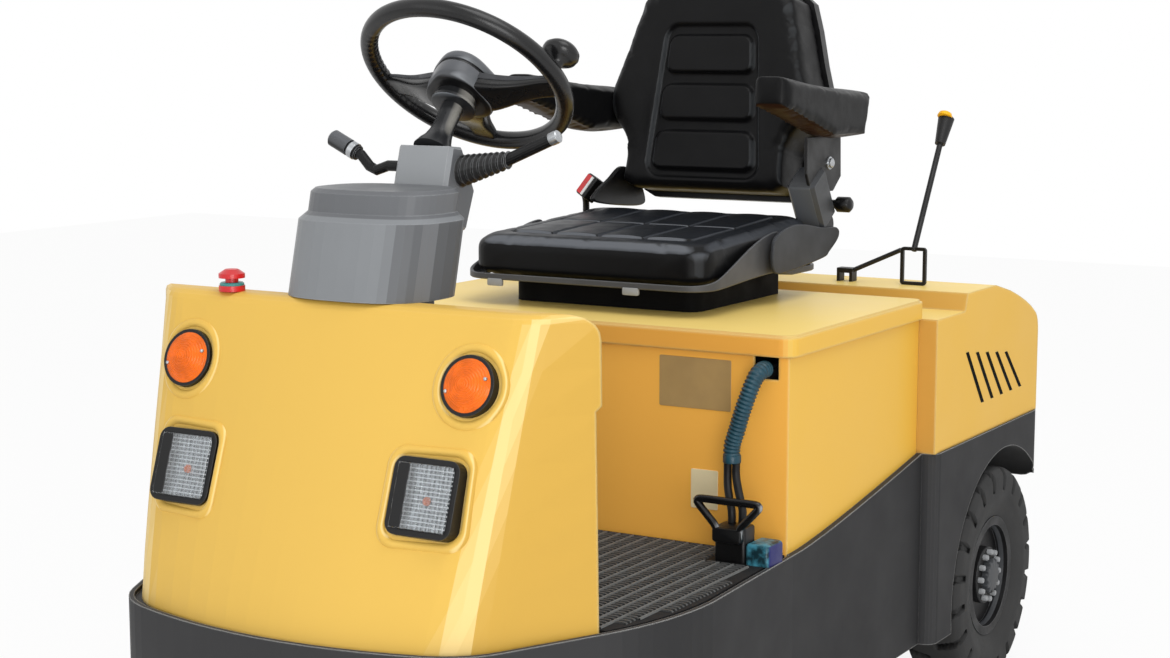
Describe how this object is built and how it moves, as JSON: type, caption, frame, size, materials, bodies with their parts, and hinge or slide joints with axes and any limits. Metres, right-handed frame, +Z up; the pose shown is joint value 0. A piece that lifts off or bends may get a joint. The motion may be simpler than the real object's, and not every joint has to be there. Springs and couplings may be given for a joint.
{
  "type": "electric airport baggage tow tractor",
  "caption": "Seated electric tow tractor with yellow body, dark skirts, tilting battery lid that carries the seat, steered front wheels, driven rear wheels and a rear tow jaw.",
  "frame": {"origin": "on the ground below the middle of the whole length, on the middle plane", "axes": "+Z up, nose towards -Y, the vehicle's left towards +X"},
  "size_m": [1.01, 2.16, 1.4713],
  "materials": {
    "yellow_paint": "semi-gloss paint",
    "skirt_plastic": "matt grained",
    "black_steel": "satin paint",
    "mat_rubber": "ribbed matt",
    "black_plastic": "fine grain",
    "grey_plastic": "moulded grain",
    "clear_lens": "ribbed clear",
    "amber_lens": "moulded ribs",
    "red_lens": "moulded",
    "red_plastic": "smooth",
    "battery_case": "moulded",
    "cast_iron": "painted casting",
    "bright_steel": "zinc plated",
    "conduit": "corrugated",
    "cable_rubber": "smooth rubber",
    "vinyl": "grained vinyl",
    "wheel_steel": "satin paint",
    "tyre": "matt rubber"
  },
  "bodies": {
    "chassis": {"chassis_frame": "black_steel", "floor_pan": "black_steel", "floor_mat": "mat_rubber", "front_skirt": "skirt_plastic", "rear_skirt": "skirt_plastic", "cowl": "yellow_paint", "dash_panel": "skirt_plastic", "headlamp_frames": "black_plastic", "headlamp_lenses": "clear_lens", "indicator_rings": "black_plastic", "indicator_lenses": "amber_lens", "stop_button": "red_plastic", "console": "grey_plastic", "steering_column": "grey_plastic", "control_levers": "black_plastic", "battery_box": "yellow_paint", "battery": "battery_case", "rear_body": "yellow_paint", "tow_hitch": "cast_iron", "hitch_pin": "bright_steel", "release_lever": "black_steel", "rear_lamps": "red_lens", "pedals": "mat_rubber", "connector": "black_plastic", "lead_conduit": "conduit", "lead_cables": "cable_rubber", "front_axle": "cast_iron", "rear_axle": "cast_iron"},
    "battery_lid": {"lid": "yellow_paint", "seat_base": "bright_steel", "seat_pan": "black_plastic", "seat_cushion": "vinyl", "back_shell": "black_plastic", "back_cushion": "vinyl", "armrests": "vinyl", "armrest_brackets": "black_steel", "belt_buckle": "red_plastic"},
    "steering": {"steering_wheel": "black_plastic", "steering_cap": "black_plastic"},
    "left_knuckle": {"knuckle_left": "cast_iron"},
    "right_knuckle": {"knuckle_right": "cast_iron"},
    "front_left_wheel": {"front_left_rim": "wheel_steel", "front_left_tyre": "tyre"},
    "front_right_wheel": {"front_right_rim": "wheel_steel", "front_right_tyre": "tyre"},
    "rear_left_wheel": {"rear_left_rim": "wheel_steel", "rear_left_tyre": "tyre"},
    "rear_right_wheel": {"rear_right_rim": "wheel_steel", "rear_right_tyre": "tyre"}
  },
  "joints": [
    {"name": "lid_hinge", "type": "hinge", "parent": "chassis", "child": "battery_lid", "pos_m": [0, 0.3849, 0.831], "axis": [-1, 0, 0], "range_deg": [0, 42]},
    {"name": "steering_turn", "type": "hinge", "parent": "chassis", "child": "steering", "pos_m": [0, -0.504, 1.297], "axis": [0, 0.6428, 0.766], "range_deg": [-540, 540]},
    {"name": "left_kingpin", "type": "hinge", "parent": "chassis", "child": "left_knuckle", "pos_m": [0.232, -0.67, 0.2], "axis": [0, 0, 1], "range_deg": [-36, 36]},
    {"name": "right_kingpin", "type": "hinge", "parent": "chassis", "child": "right_knuckle", "pos_m": [-0.232, -0.67, 0.2], "axis": [0, 0, 1], "range_deg": [-36, 36]},
    {"name": "front_left_spin", "type": "hinge", "parent": "left_knuckle", "child": "front_left_wheel", "pos_m": [0.32, -0.67, 0.2], "axis": [1, 0, 0], "continuous": true},
    {"name": "front_right_spin", "type": "hinge", "parent": "right_knuckle", "child": "front_right_wheel", "pos_m": [-0.32, -0.67, 0.2], "axis": [1, 0, 0], "continuous": true},
    {"name": "rear_left_spin", "type": "hinge", "parent": "chassis", "child": "rear_left_wheel", "pos_m": [0.442, 0.71, 0.23], "axis": [1, 0, 0], "continuous": true},
    {"name": "rear_right_spin", "type": "hinge", "parent": "chassis", "child": "rear_right_wheel", "pos_m": [-0.442, 0.71, 0.23], "axis": [1, 0, 0], "continuous": true}
  ],
  "couplings": [
    {"joint": "left_kingpin", "follows": "steering_turn", "ratio": 0.066667},
    {"joint": "right_kingpin", "follows": "steering_turn", "ratio": 0.066667}
  ]
}
